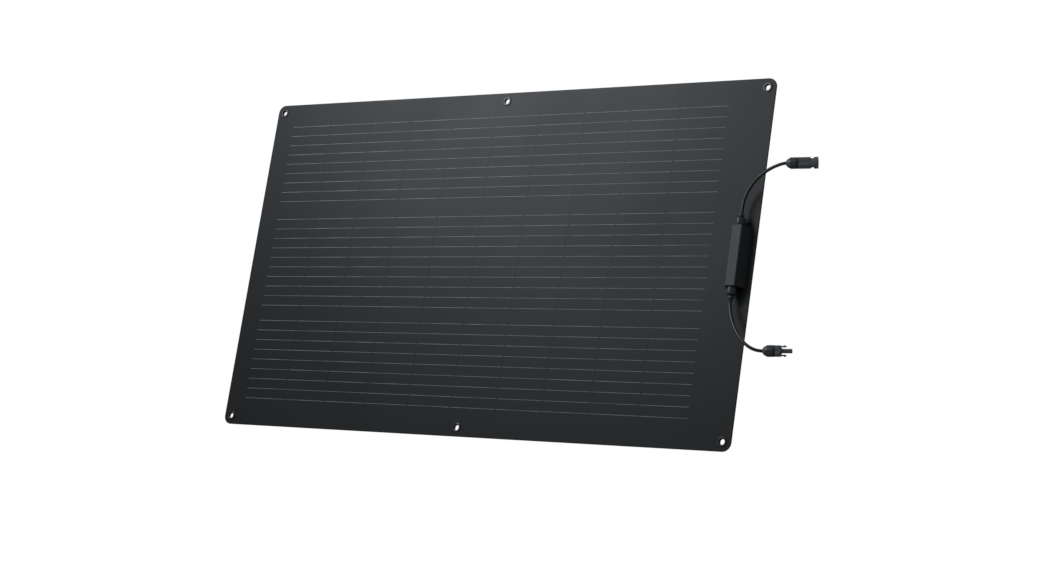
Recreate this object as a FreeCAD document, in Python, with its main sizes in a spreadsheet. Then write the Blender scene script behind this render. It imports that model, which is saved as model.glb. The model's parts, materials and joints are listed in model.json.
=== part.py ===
"""Flexible solar sheet: a bendable laminate of thirty half cells with eyelets, a bonded
junction box and two plug-in cables.

Frame: millimetres, +Z up along the short side, +X along the long side towards the
junction box, and the sun side faces -Y. The origin is the middle of the back face.
"""
import FreeCAD, Part
import math
import os

import Sketcher

# Driving dimensions in millimetres; plug_turn and plug_tilt are in degrees. Other sizes
# follow from these.
DIMENSIONS = {
    # laminate, from its back face to its sun side
    "sheet_length": 1055,
    "sheet_height": 612,
    "corner_radius": 15,
    "backsheet_thickness": 0.3,
    "core_thickness": 0.85,
    "rear_glue_thickness": 0.3,
    "cell_thickness": 0.2,
    "ribbon_thickness": 0.15,
    "front_glue_thickness": 0.45,
    "film_thickness": 0.25,
    "seal_pocket_length": 1011,
    "seal_pocket_height": 563,
    # cells and the ribbons soldered along them
    "column_count": 10,
    "column_pitch": 93.2,
    "array_centre_x": -20,
    "cell_width": 91,
    "cell_height": 182,
    "upper_row_z": 189.2,
    "lower_row_z": -183.5,
    "ribbon_pitch": 18.2,
    "ribbon_width": 1,
    "ribbon_overrun": 10,
    "bus_width": 5,
    "bus_gap": 5,
    "return_ribbon_z": -278,
    "strip_gap": 0.4,
    # eyelets
    "eyelet_inset": 15.5,
    "eyelet_bore": 4.75,
    "eyelet_barrel": 5.35,
    "eyelet_flange": 8.2,
    "eyelet_lip": 1.3,
    "eyelet_curl": 6.6,
    "curl_thickness": 0.5,
    "washer_thickness": 0.8,
    "barrel_play": 0.1,
    "dimple_radius": 8.5,
    "dimple_depth": 0.1,
    # junction box
    "box_x": 501,
    "box_z": 5,
    "box_length": 100,
    "box_foot_width": 35.4,
    "box_front_width": 16.4,
    "box_height": 22,
    "pad_thickness": 0.8,
    "box_floor": 2.4,
    "box_wall": 2.2,
    "pad_inset": 0.6,
    "box_corner": 1,
    "gasket_thickness": 0.6,
    "gasket_inset": 0.5,
    "gasket_shortening": 1,
    "lid_thickness": 2.2,
    "lid_edge": 0.8,
    "lid_plug_depth": 1.6,
    "lead_slot_width": 7,
    "lead_slot_height": 3,
    "lead_z": 22,
    # what the box holds
    "plate_width": 16,
    "plate_thickness": 1,
    "plate_reach": 9,
    "post_width": 6,
    "post_thickness": 3,
    "diode_radius": 2.6,
    "diode_length": 9.5,
    "diode_rise": 3.6,
    "diode_lead": 0.6,
    "potting_depth": 3,
    # glands and cables
    "cable_depth": 14.5,
    "gland_radius": 7.8,
    "gland_length": 13,
    "gland_neck": 7,
    "gland_neck_length": 1.5,
    "gland_chamfer": 1,
    "gland_spigot": 4.95,
    "spigot_end": 1,
    "gland_bore": 4.1,
    "sleeve_radius": 4,
    "sleeve_inside": 2,
    "sleeve_stem": 3.5,
    "bead_radius": 5,
    "bead_rise": 4.2,
    "cable_radius": 2.65,
    "cable_bore": 1.55,
    "cable_play": 0.05,
    "wire_radius": 1.5,
    "joint_play": 0.25,
    "cable_lead": 12,
    "jacket_past_wall": 1.5,
    "jacket_in_plug": 7.8,
    "wire_in_plug": 10.5,
    # how far a cutter or a hidden root runs past the face it meets
    "overlap": 1,
    # latching connectors on the cable ends, measured from the cable's entry
    "plug_x": 575.6,
    "plug_depth": 26,
    "plug_turn": 20,
    "plug_tilt": 5.5,
    "upper_plug_z": 153.4,
    "lower_plug_z": -149.5,
    "nut_length": 16.5,
    "nut_radius": 9.2,
    "nut_mouth": 3.4,
    "nut_nose": 4.2,
    "nut_shoulder": 6.4,
    "nut_shoulder_at": 2.1,
    "nut_full_at": 7,
    "nut_wall": 2.6,
    "seal_radius": 4.6,
    "seal_end": 8,
    "seal_ring_radius": 9,
    "nut_groove_radius": 1.5,
    "nut_groove_lift": 0.7,
    "nut_groove_at": 5.2,
    "nut_groove_stop": 1.7,
    "tail_radius": 7,
    "tail_at": 8.3,
    "thread_play": 0.1,
    "collar_at": 18.9,
    "cable_room": 2.5,
    "contact_radius": 2.45,
    "contact_at": 10.5,
    "socket_length": 49.7,
    "socket_radius": 9.3,
    "socket_mouth": 4.3,
    "socket_room_end": 32.5,
    "socket_pin": 1.25,
    "socket_pin_end": 44.5,
    "grip_flat": 8.5,
    "grip_face": 7.4,
    "notch_at": 37.2,
    "notch_slope": 2.2,
    "notch_floor": 5.4,
    "notch_end": 43.4,
    "slot_top": 8.1,
    "slot_width": 6,
    "rib_rise": 7.9,
    "rib_offset": 3.8,
    "rib_width": 5.4,
    "rib_start": 0.8,
    "plug_length": 45.5,
    "plug_radius": 9.2,
    "plug_flat": 8.3,
    "collar_end": 27.9,
    "plug_room_end": 24.9,
    "tube_radius": 3.5,
    "tube_bore": 2.2,
    "tube_foot": 4.9,
    "tube_foot_length": 1.9,
    "pin_radius": 2.15,
    "pin_bore": 1.3,
    "pin_bore_depth": 12,
    "pin_short": 2,
    "latch_height": 7,
    "latch_thickness": 1.5,
    "latch_width": 5,
    "latch_length": 8.2,
    "barb_length": 3.4,
    "barb_height": 1.7,
    "barb_tip": 1.2,
}

doc = FreeCAD.newDocument("FlexibleSolarSheet")
nodes = []


class Size:
    """A number together with the spreadsheet expression that gives it."""

    def __init__(self, number, text):
        self.number = number
        self.text = text

    def join(self, sign, other, number):
        return Size(number, f"({self.text} {sign} {size(other).text})")

    def __add__(self, other):
        return self.join("+", other, self.number + size(other).number)

    def __sub__(self, other):
        return self.join("-", other, self.number - size(other).number)

    def __mul__(self, other):
        return self.join("*", other, self.number * size(other).number)

    def __truediv__(self, other):
        return self.join("/", other, self.number / size(other).number)

    def __neg__(self):
        return Size(-self.number, f"(-1 * {self.text})")


def size(value):
    return value if isinstance(value, Size) else Size(value, repr(value))


class Sizes:
    """The spreadsheet's cells by name, such as d.sheet_length."""

    def __init__(self, dimensions):
        self.cells = dimensions
        page = doc.addObject("Spreadsheet::Sheet", "Dimensions")
        for row, (alias, number) in enumerate(dimensions.items(), start=1):
            page.set(f"A{row}", alias)
            page.set(f"B{row}", str(number))
            page.setAlias(f"B{row}", alias)
        doc.recompute()

    def __getattr__(self, alias):
        return Size(self.cells[alias], f"Dimensions.{alias}")


d = Sizes(DIMENSIONS)


# ---------------------------------------------------------------- building blocks


def bind(thing, prop, value):
    thing.setExpression(prop, size(value).text)


def place(thing, x=0, y=0, z=0):
    for axis, value in zip("xyz", (x, y, z)):
        bind(thing, f"Placement.Base.{axis}", value)
    return thing


def node(thing, label):
    """Marks an object as a finished sub-part; its label names its file."""
    thing.Label = label
    nodes.append(thing)
    return thing


def box(low, high):
    """A block between two corners, each given as x, y, z."""
    block = doc.addObject("Part::Box", "Block")
    for prop, a, b in zip(("Length", "Width", "Height"), low, high):
        bind(block, prop, size(b) - a)
    return place(block, *low)


def rod(radius, start, end, x=0, y=0, z=0, along="z"):
    """A cylinder along x or z from start to end, both measured along its own axis."""
    turn = {"z": FreeCAD.Rotation(), "x": FreeCAD.Rotation(FreeCAD.Vector(0, 1, 0), 90)}[along]
    cylinder = doc.addObject("Part::Cylinder", "Rod")
    bind(cylinder, "Radius", radius)
    bind(cylinder, "Height", size(end) - start)
    cylinder.Placement = FreeCAD.Placement(FreeCAD.Vector(), turn)
    if along == "x":
        return place(cylinder, size(x) + start, y, z)
    return place(cylinder, x, y, size(z) + start)


def group(parts):
    """Several separate solids kept as one sub-part."""
    bundle = doc.addObject("Part::Compound", "Group")
    bundle.Links = parts
    return bundle


def fuse(parts):
    joined = doc.addObject("Part::MultiFuse", "Joined")
    joined.Shapes = parts
    joined.Refine = True
    return joined


def cut(base, tools):
    trimmed = doc.addObject("Part::Cut", "Trimmed")
    trimmed.Base = base
    trimmed.Tool = tools[0] if len(tools) == 1 else group(tools)
    return trimmed


def mirrored(thing, normal, base=(0, 0, 0)):
    copy = doc.addObject("Part::Mirroring", "Mirrored")
    copy.Source = thing
    copy.Normal = FreeCAD.Vector(*normal)
    copy.Base = FreeCAD.Vector(*base)
    return copy


def new_body(name):
    return doc.addObject("PartDesign::Body", name)


def sketch_on(body, plane, offset=0):
    """An empty sketch on one of the body's own origin planes, moved along its normal."""
    sketch = body.newObject("Sketcher::SketchObject", "Outline")
    face = next(f for f in body.Origin.OriginFeatures if f.Role == plane)
    sketch.AttachmentSupport = [(face, "")]
    sketch.MapMode = "FlatFace"
    bind(sketch, "AttachmentOffset.Base.z", offset)
    return sketch


def pin_point(sketch, element, vertex, across, up):
    """Ties a sketch point to its two coordinates."""
    for kind, value in (("DistanceX", across), ("DistanceY", up)):
        constraint = Sketcher.Constraint(kind, -1, 1, element, vertex, size(value).number)
        index = sketch.addConstraint(constraint)
        bind(sketch, f"Constraints[{index}]", value)


def polygon(sketch, points):
    """A closed outline through points given as (across, up)."""
    spots = [FreeCAD.Vector(size(a).number, size(b).number, 0) for a, b in points]
    lines = []
    for start, end in zip(spots, spots[1:] + spots[:1]):
        lines.append(sketch.addGeometry(Part.LineSegment(start, end), False))
    for line, following in zip(lines, lines[1:] + lines[:1]):
        sketch.addConstraint(Sketcher.Constraint("Coincident", line, 2, following, 1))
    for line, (across, up) in zip(lines, points):
        pin_point(sketch, line, 1, across, up)


def circle(sketch, across, up, radius):
    centre = FreeCAD.Vector(size(across).number, size(up).number, 0)
    ring = Part.Circle(centre, FreeCAD.Vector(0, 0, 1), size(radius).number)
    element = sketch.addGeometry(ring, False)
    pin_point(sketch, element, 3, across, up)
    index = sketch.addConstraint(Sketcher.Constraint("Radius", element, size(radius).number))
    bind(sketch, f"Constraints[{index}]", radius)


def pad(body, sketch, length, both_ways=False):
    feature = body.newObject("PartDesign::Pad", "Pad")
    feature.Profile = sketch
    bind(feature, "Length", length)
    feature.Midplane = both_ways
    doc.recompute()
    return feature


def pocket(body, sketch, length):
    """Cuts from the sketch along its normal, and checks that material went."""
    before = body.Shape.Volume
    feature = body.newObject("PartDesign::Pocket", "Pocket")
    feature.Profile = sketch
    bind(feature, "Length", length)
    feature.Reversed = True
    doc.recompute()
    if body.Shape.Volume > before - 0.01:
        raise RuntimeError(f"a pocket in {body.Label} removed nothing")
    return feature


def revolve(body, sketch, axis):
    feature = body.newObject("PartDesign::Revolution", "Revolution")
    feature.Profile = sketch
    feature.ReferenceAxis = (sketch, [axis])
    feature.Angle = 360
    doc.recompute()
    return feature


def fillet(body, feature, radius, chosen):
    """Rounds the feature's edges for which chosen(edge) is true."""
    names = [f"Edge{i}" for i, e in enumerate(feature.Shape.Edges, start=1) if chosen(e)]
    rounded = body.newObject("PartDesign::Fillet", "Fillet")
    rounded.Base = (feature, names)
    bind(rounded, "Radius", radius)
    doc.recompute()
    return rounded


# ---------------------------------------------------------------- laminate

BACKSHEET_AT = size(0)
CORE_AT = BACKSHEET_AT + d.backsheet_thickness
REAR_GLUE_AT = CORE_AT + d.core_thickness
CELLS_AT = REAR_GLUE_AT + d.rear_glue_thickness
RIBBONS_AT = CELLS_AT + d.cell_thickness
FRONT_GLUE_AT = RIBBONS_AT + d.ribbon_thickness
FILM_AT = FRONT_GLUE_AT + d.front_glue_thickness
SUN_FACE = FILM_AT + d.film_thickness

EYELET_X = d.sheet_length / 2 - d.eyelet_inset
EYELET_Z = d.sheet_height / 2 - d.eyelet_inset
ARRAY_LEFT = d.array_centre_x - d.column_pitch * (DIMENSIONS["column_count"] / 2)
ARRAY_RIGHT = d.array_centre_x + d.column_pitch * (DIMENSIONS["column_count"] / 2)

# Ribbons on each row of cells, from the top row down.
ROWS = ((d.upper_row_z, 9), (size(0), 10), (d.lower_row_z, 9))


def along_y(edge):
    ends = edge.Vertexes
    step = ends[-1].Point - ends[0].Point
    return abs(step.y) > 0.01 and abs(step.x) + abs(step.z) < 0.01


def layer(name, start, thickness):
    """One full-size layer with rounded corners and the six eyelet holes."""
    body = new_body(name)
    outline = sketch_on(body, "XZ_Plane", start)
    half_x = d.sheet_length / 2
    half_z = d.sheet_height / 2
    corners = ((-half_x, -half_z), (half_x, -half_z), (half_x, half_z), (-half_x, half_z))
    polygon(outline, corners)
    plate = pad(body, outline, thickness)
    fillet(body, plate, d.corner_radius, along_y)
    holes = sketch_on(body, "XZ_Plane", start)
    for across in (-EYELET_X, size(0), EYELET_X):
        for up in (-EYELET_Z, EYELET_Z):
            circle(holes, across, up, d.eyelet_barrel + d.barrel_play)
    pocket(body, holes, thickness)
    return body


def lead_slots(body, start, depth):
    """Two slots under the junction box for the leads that rise into it."""
    slots = sketch_on(body, "XZ_Plane", start)
    for middle in (d.box_z + d.lead_z, d.box_z - d.lead_z):
        left = d.box_x - d.lead_slot_width / 2
        right = d.box_x + d.lead_slot_width / 2
        low = middle - d.lead_slot_height / 2
        high = middle + d.lead_slot_height / 2
        polygon(slots, ((left, low), (right, low), (right, high), (left, high)))
    pocket(body, slots, depth)


def backsheet():
    """The back layer, with a shallow dimple pressed into it round each eyelet."""
    body = layer("Backsheet", BACKSHEET_AT, d.backsheet_thickness)
    dimples = sketch_on(body, "XZ_Plane", BACKSHEET_AT)
    for across in (-EYELET_X, size(0), EYELET_X):
        for up in (-EYELET_Z, EYELET_Z):
            circle(dimples, across, up, d.dimple_radius)
    pocket(body, dimples, d.dimple_depth)
    node(body, "backsheet")


def rear_encapsulant():
    node(layer("RearGlue", REAR_GLUE_AT, d.rear_glue_thickness), "rear_encapsulant")


def front_encapsulant():
    """The front glue, with a rim that closes the cell space all round the edge."""
    depth = d.cell_thickness + d.ribbon_thickness
    body = layer("FrontGlue", CELLS_AT, depth + d.front_glue_thickness)
    space = sketch_on(body, "XZ_Plane", CELLS_AT)
    half_x = d.seal_pocket_length / 2
    half_z = d.seal_pocket_height / 2
    polygon(space, ((-half_x, -half_z), (half_x, -half_z), (half_x, half_z), (-half_x, half_z)))
    pocket(body, space, depth)
    lead_slots(body, CELLS_AT, depth + d.front_glue_thickness)
    node(body, "front_encapsulant")


def front_film():
    body = layer("FrontFilm", FILM_AT, d.film_thickness)
    lead_slots(body, FILM_AT, d.film_thickness)
    node(body, "front_film")


def core_strips():
    """The stiff core board, parted at each gap between cell columns, where the sheet bends."""
    board = layer("CoreBoard", CORE_AT, d.core_thickness)
    count = DIMENSIONS["column_count"]
    beyond = d.sheet_length
    for k in range(count):
        left = ARRAY_LEFT + d.column_pitch * k + d.strip_gap / 2
        right = ARRAY_LEFT + d.column_pitch * (k + 1) - d.strip_gap / 2
        left = -beyond if k == 0 else left
        right = beyond if k == count - 1 else right
        slab = box((left, -beyond, -beyond), (right, beyond, beyond))
        strip = doc.addObject("Part::Common", "Strip")
        strip.Base = board
        strip.Tool = slab
        node(strip, f"core_strip_{k + 1:02d}")


def cell_columns():
    """Ten columns of three half cells; each column lies on its own core strip."""
    for k in range(DIMENSIONS["column_count"]):
        middle = ARRAY_LEFT + d.column_pitch * (k + 0.5)
        cells = []
        for row_z, _ in ROWS:
            low = (middle - d.cell_width / 2, -RIBBONS_AT, row_z - d.cell_height / 2)
            high = (middle + d.cell_width / 2, -CELLS_AT, row_z + d.cell_height / 2)
            cells.append(box(low, high))
        node(group(cells), f"cell_column_{k + 1:02d}")


def flat_ribbon(left, right, low, high, back, front):
    return box((left, -front, low), (right, -back, high))


def string_ribbons():
    """The ribbons along the cells, and one below the lower row that leads back to the box."""
    left = ARRAY_LEFT - d.ribbon_overrun
    right = ARRAY_RIGHT + d.ribbon_overrun
    ribbons = []
    for row_z, count in ROWS:
        for k in range(count):
            up = row_z + d.ribbon_pitch * (k - (count - 1) / 2)
            low = up - d.ribbon_width / 2
            high = up + d.ribbon_width / 2
            ribbons.append(flat_ribbon(left, right, low, high, RIBBONS_AT, FRONT_GLUE_AT))
    low = d.return_ribbon_z - d.bus_width / 2
    high = d.return_ribbon_z + d.bus_width / 2
    ribbons.append(flat_ribbon(left, right, low, high, RIBBONS_AT, FRONT_GLUE_AT))
    node(group(ribbons), "string_ribbons")


def bus(left, low, high):
    """A vertical bus ribbon beside the cells, under the ends of the row ribbons."""
    return flat_ribbon(left, left + d.bus_width, low, high, CELLS_AT, RIBBONS_AT)


def row_end(row, sign):
    """The height just past a row's outermost ribbon."""
    row_z, count = ROWS[row]
    return row_z + d.ribbon_pitch * (sign * (count - 1) / 2) + d.ribbon_width * (2 * sign)


def bus_ribbons():
    """Left: upper row to middle row, lower row to the return. Right: the two leads and a link."""
    return_low = d.return_ribbon_z - d.bus_width / 2
    left = ARRAY_LEFT - d.bus_gap - d.bus_width
    links = [bus(left, row_end(1, -1), row_end(0, 1)), bus(left, return_low, row_end(2, 1))]
    node(group(links), "left_bus_ribbons")

    right = ARRAY_RIGHT + d.bus_gap
    lead_left = d.box_x - d.bus_width / 2
    upper_low = row_end(0, -1)
    lead_ends = ((upper_low, d.box_z + d.lead_z), (return_low, d.box_z - d.lead_z))
    leads = []
    for level, rise in lead_ends:
        low = min((level, rise), key=lambda z: z.number)
        high = max((level + d.bus_width, rise), key=lambda z: z.number)
        parts = [
            flat_ribbon(right, lead_left + d.bus_width, level, level + d.bus_width, CELLS_AT, RIBBONS_AT),
            bus(lead_left, low, high),
            flat_ribbon(
                lead_left,
                lead_left + d.bus_width,
                rise - d.ribbon_width / 2,
                rise + d.ribbon_width / 2,
                CELLS_AT,
                SUN_FACE + d.pad_thickness + d.box_floor,
            ),
        ]
        if level is upper_low:
            parts.append(bus(right, upper_low, row_end(0, 1)))
        leads.append(fuse(parts))
    link = bus(right, row_end(2, -1), row_end(1, 1))
    node(group(leads + [link]), "right_bus_ribbons")


# ---------------------------------------------------------------- eyelets


def eyelet():
    """A rolled eyelet: front flange, barrel through the laminate and a curl behind the washer."""
    body = new_body("Eyelet")
    outline = sketch_on(body, "XY_Plane")
    curl_at = d.washer_thickness - d.dimple_depth
    curl_end = curl_at + d.curl_thickness
    front = -(SUN_FACE + d.eyelet_lip)
    polygon(
        outline,
        (
            (d.eyelet_bore, curl_end),
            (d.eyelet_curl, curl_end),
            (d.eyelet_curl, curl_at),
            (d.eyelet_barrel, curl_at),
            (d.eyelet_barrel, -SUN_FACE),
            (d.eyelet_flange, -SUN_FACE),
            (d.eyelet_flange, front),
            (d.eyelet_bore, front),
        ),
    )
    ring = revolve(body, outline, "V_Axis")
    level = front.number

    def on_the_lip(edge):
        middle = edge.CenterOfMass
        return isinstance(edge.Curve, Part.Circle) and abs(middle.y - level) < 0.01

    fillet(body, ring, d.eyelet_lip * 0.75, on_the_lip)
    return body


def washer():
    """The flat ring, seated in its dimple, that spreads the curl's load on the backsheet."""
    body = new_body("Washer")
    outline = sketch_on(body, "XZ_Plane", d.dimple_depth - d.washer_thickness)
    circle(outline, 0, 0, d.eyelet_flange)
    circle(outline, 0, 0, d.eyelet_barrel + d.barrel_play)
    pad(body, outline, d.washer_thickness)
    return body


def eyelets():
    """One pair of eyelets and washers at each end of the sheet and one pair at its middle."""
    for side, across in (("left", -EYELET_X), ("middle", size(0)), ("right", EYELET_X)):
        for maker, label in ((eyelet, "eyelets"), (washer, "eyelet_washers")):
            upper = place(maker(), across, 0, EYELET_Z)
            node(group([upper, mirrored(upper, (0, 0, 1))]), f"{side}_{label}")


# ---------------------------------------------------------------- junction box

BOX_LOW = d.box_z - d.box_length / 2
BOX_HIGH = d.box_z + d.box_length / 2
FOOT_AT = SUN_FACE + d.pad_thickness
FLOOR_AT = FOOT_AT + d.box_floor
BOX_FRONT = SUN_FACE + d.box_height
LID_AT = BOX_FRONT - d.lid_thickness
RIM_AT = LID_AT - d.gasket_thickness


def half_width(level):
    """Half the box's width at a depth in front of the back face; its sides lean inwards."""
    lean = (d.box_foot_width - d.box_front_width) / 2 / d.box_height
    return d.box_foot_width / 2 - lean * (level - SUN_FACE)


def trapezoid(sketch, near, far, inset=0):
    """The box's cross-section between two depths, less an inset on each side."""
    wide = half_width(near) - inset
    narrow = half_width(far) - inset
    middle = d.box_x
    corners = (
        (middle - wide, -near),
        (middle + wide, -near),
        (middle + narrow, -far),
        (middle - narrow, -far),
    )
    polygon(sketch, corners)


def box_section(name, near, far, inset=0, short=0):
    """A straight length of the box's cross-section, shortened at both ends."""
    body = new_body(name)
    outline = sketch_on(body, "XY_Plane", BOX_LOW + short)
    trapezoid(outline, near, far, inset)
    block = pad(body, outline, d.box_length - size(short) * 2)
    return body, block


def adhesive_pad():
    body, _ = box_section("AdhesivePad", SUN_FACE, FOOT_AT, d.pad_inset, d.pad_inset)
    lead_slots(body, SUN_FACE, d.pad_thickness)
    node(body, "adhesive_pad")


def gland_holes(radius):
    """Cutters for the openings in the two end walls."""
    start = BOX_LOW - d.box_wall
    end = BOX_HIGH + d.box_wall
    return rod(radius, start, end, x=d.box_x, y=-d.cable_depth)


def box_base():
    """The tub: floor, leaning side walls and end walls, open at the front."""
    body, block = box_section("BoxBase", FOOT_AT, RIM_AT)
    fillet(body, block, d.box_corner, along_slope)
    lead_slots(body, FOOT_AT, d.box_floor)
    cavity = sketch_on(body, "XY_Plane", BOX_LOW + d.box_wall)
    trapezoid(cavity, FLOOR_AT, RIM_AT + d.gasket_thickness, d.box_wall)
    pocket(body, cavity, d.box_length - d.box_wall * 2)
    node(cut(body, [gland_holes(d.gland_spigot + d.barrel_play)]), "box_base")


def along_slope(edge):
    """True for the corner edges where an end wall meets a leaning side wall."""
    ends = edge.Vertexes
    step = ends[-1].Point - ends[0].Point
    return abs(step.y) > 1 and abs(step.z) < 0.01


def box_gasket():
    body, _ = box_section("BoxGasket", RIM_AT, LID_AT, d.gasket_inset, d.gasket_shortening)
    opening = sketch_on(body, "XY_Plane", BOX_LOW + d.box_wall)
    trapezoid(opening, RIM_AT - d.gasket_thickness, LID_AT + d.gasket_thickness, d.box_wall)
    pocket(body, opening, d.box_length - d.box_wall * 2)
    node(body, "box_gasket")


def box_lid():
    """The front plate, with softened edges and a shallow plug inside the tub's rim."""
    body, block = box_section("BoxLid", LID_AT, BOX_FRONT)
    level = -BOX_FRONT.number

    def on_the_front(edge):
        return all(abs(v.Y - level) < 0.01 for v in edge.Vertexes)

    fillet(body, block, d.lid_edge, on_the_front)
    inset = d.box_wall + d.joint_play
    low = (d.box_x - half_width(LID_AT) + inset, -LID_AT, BOX_LOW + inset)
    high = (d.box_x + half_width(LID_AT) - inset, d.lid_plug_depth - LID_AT, BOX_HIGH - inset)
    node(fuse([body, box(low, high)]), "box_lid")


def between(one, other):
    """Two sizes, the smaller first."""
    return sorted((size(one), size(other)), key=lambda value: value.number)


def terminal_plates():
    """Two brass plates on the floor, each with a post that takes one cable's wire."""
    plates = []
    wide = d.plate_width / 2
    narrow = d.post_width / 2
    for sign in (-1, 1):
        near = d.box_z + d.lead_z * sign
        far = near + d.plate_reach * sign
        low, high = between(near - d.post_thickness * sign, far)
        front = -(FLOOR_AT + d.plate_thickness)
        plate = box((d.box_x - wide, front, low), (d.box_x + wide, -FLOOR_AT, high))
        low, high = between(far - d.post_thickness * sign, far)
        front = -(d.cable_depth + d.wire_radius)
        post = box((d.box_x - narrow, front, low), (d.box_x + narrow, -FLOOR_AT, high))
        plates.append(fuse([plate, post]))
    node(group(plates), "terminal_plates")


def bypass_diode():
    """One axial diode between the two plates."""
    centre = {"x": d.box_x, "y": -(FLOOR_AT + d.diode_rise)}
    reach = d.lead_z - d.post_thickness
    half = d.diode_length / 2
    case = rod(d.diode_radius, d.box_z - half, d.box_z + half, **centre)
    lead = rod(d.diode_lead, d.box_z - reach, d.box_z + reach, **centre)
    feet = []
    for sign in (-1, 1):
        end = d.box_z + reach * sign
        top = -(FLOOR_AT + d.diode_rise + d.diode_lead)
        low = (d.box_x - d.diode_lead, top, end - d.diode_lead)
        high = (d.box_x + d.diode_lead, -(FLOOR_AT + d.plate_thickness), end + d.diode_lead)
        feet.append(box(low, high))
    node(fuse([case, lead] + feet), "bypass_diode")


def potting():
    """The sealing compound that covers the plates and most of the diode."""
    depth = FLOOR_AT + d.potting_depth
    side = half_width(depth) - d.box_wall - d.joint_play
    end = d.box_wall + d.joint_play
    low = (d.box_x - side, -depth, BOX_LOW + end)
    high = (d.box_x + side, -FLOOR_AT, BOX_HIGH - end)
    inside = [thing for thing in nodes if thing.Label in ("terminal_plates", "bypass_diode")]
    node(cut(box(low, high), inside), "potting")


# ---------------------------------------------------------------- glands


def both_ends(thing):
    """A piece at the box's upper end and its mirror image at the lower end."""
    return group([thing, mirrored(thing, (0, 0, 1), (0, 0, d.box_z.number))])


def turned_on_cable(name, profile):
    """A ring round the cable above the box's upper wall, from (radius, height) points."""
    body = new_body(name)
    outline = sketch_on(body, "XZ_Plane")
    polygon(outline, profile)
    revolve(body, outline, "V_Axis")
    return place(body, d.box_x, -d.cable_depth, BOX_HIGH)


def gland_nuts():
    """Plain round nuts with a narrow neck at the box and a spigot through its wall."""
    inner_end = -(d.box_wall + d.spigot_end)
    top = d.gland_length
    profile = (
        (d.gland_bore, inner_end),
        (d.gland_spigot, inner_end),
        (d.gland_spigot, 0),
        (d.gland_neck, 0),
        (d.gland_neck, d.gland_neck_length),
        (d.gland_radius, d.gland_neck_length),
        (d.gland_radius, top - d.gland_chamfer),
        (d.gland_radius - d.gland_chamfer, top),
        (d.gland_bore, top),
    )
    node(both_ends(turned_on_cable("GlandNut", profile)), "gland_nuts")


def gland_sleeves():
    """Rubber sleeves that grip the cables and end in a round bead outside the nuts."""
    bore = d.cable_radius + d.cable_play
    top = d.gland_length
    middle = top + d.bead_rise
    profile = (
        (bore, -d.sleeve_inside),
        (d.sleeve_radius, -d.sleeve_inside),
        (d.sleeve_radius, top - d.gland_chamfer),
        (d.sleeve_stem, top),
        (d.sleeve_stem, middle),
        (bore, middle),
    )
    stem = turned_on_cable("GlandSleeve", profile)
    bead = doc.addObject("Part::Sphere", "Bead")
    bind(bead, "Radius", d.bead_radius)
    place(bead, d.box_x, -d.cable_depth, BOX_HIGH + middle)
    reach = d.bead_radius * 2
    hole = rod(bore, middle - reach, middle + reach, x=d.box_x, y=-d.cable_depth, z=BOX_HIGH)
    node(both_ends(fuse([stem, cut(bead, [hole])])), "gland_sleeves")


# ---------------------------------------------------------------- cables


# The connectors point back towards the wall and a little upward.
BACKWARD = FreeCAD.Rotation(FreeCAD.Vector(0, 0, 1), DIMENSIONS["plug_turn"])
UPWARD = FreeCAD.Rotation(FreeCAD.Vector(0, -1, 0), DIMENSIONS["plug_tilt"])
PLUG_TURN = BACKWARD.multiply(UPWARD)


class Cable:
    """A cable's middle line: straight out of its gland, then one free curve to its plug."""

    def __init__(self, name, sign, plug_z, leave, arrive, bend):
        self.name = name
        self.sign = sign
        depth = -DIMENSIONS["cable_depth"]
        box_x = DIMENSIONS["box_x"]
        self.plug = FreeCAD.Vector(DIMENSIONS["plug_x"], -DIMENSIONS["plug_depth"], plug_z)
        self.along = PLUG_TURN.multVec(FreeCAD.Vector(1, 0, 0))
        end_wall = DIMENSIONS["box_z"] + sign * DIMENSIONS["box_length"] / 2
        self.wall = FreeCAD.Vector(box_x, depth, end_wall)
        reach = DIMENSIONS["gland_length"] + DIMENSIONS["cable_lead"]
        self.start = self.wall + FreeCAD.Vector(0, 0, sign * reach)
        self.curve = Part.BezierCurve()
        self.curve.setPoles(
            [
                self.start,
                self.start + FreeCAD.Vector(0, 0, sign * leave),
                self.plug - self.along * arrive,
                self.plug,
            ]
        )
        self.bend = bend

    def back_from(self, place_on_curve, distance):
        """The curve parameter a short distance before another."""
        return place_on_curve - distance / self.curve.getD1(place_on_curve)[1].Length

    def line(self, first, last):
        return Part.Edge(self.curve, first, last)

    def lead_in(self, inside):
        """The straight length from inside the box to the start of the curve."""
        entry = self.wall - FreeCAD.Vector(0, 0, self.sign * inside)
        return Part.makeLine(entry, self.start)

    def lead_out(self, inside):
        """The straight length from the plug's mouth to a place inside the plug."""
        return Part.makeLine(self.plug, self.plug + self.along * inside)


def sweep(edges, radius):
    """A round bar along a chain of smooth edges."""
    path = Part.Wire(edges)
    first = edges[0]
    start = first.valueAt(first.FirstParameter)
    direction = first.tangentAt(first.FirstParameter)
    ring = Part.Wire([Part.makeCircle(radius, start, direction)])
    return path.makePipeShell([ring], True, False)


def solid_node(shape, label):
    """A sub-part whose free curve no primitive or sketch feature fits."""
    thing = doc.addObject("Part::Feature", "Swept")
    thing.Shape = shape
    return node(thing, label)


def ball_at(point):
    return Part.makeSphere(DIMENSIONS["cable_radius"], point)


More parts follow.
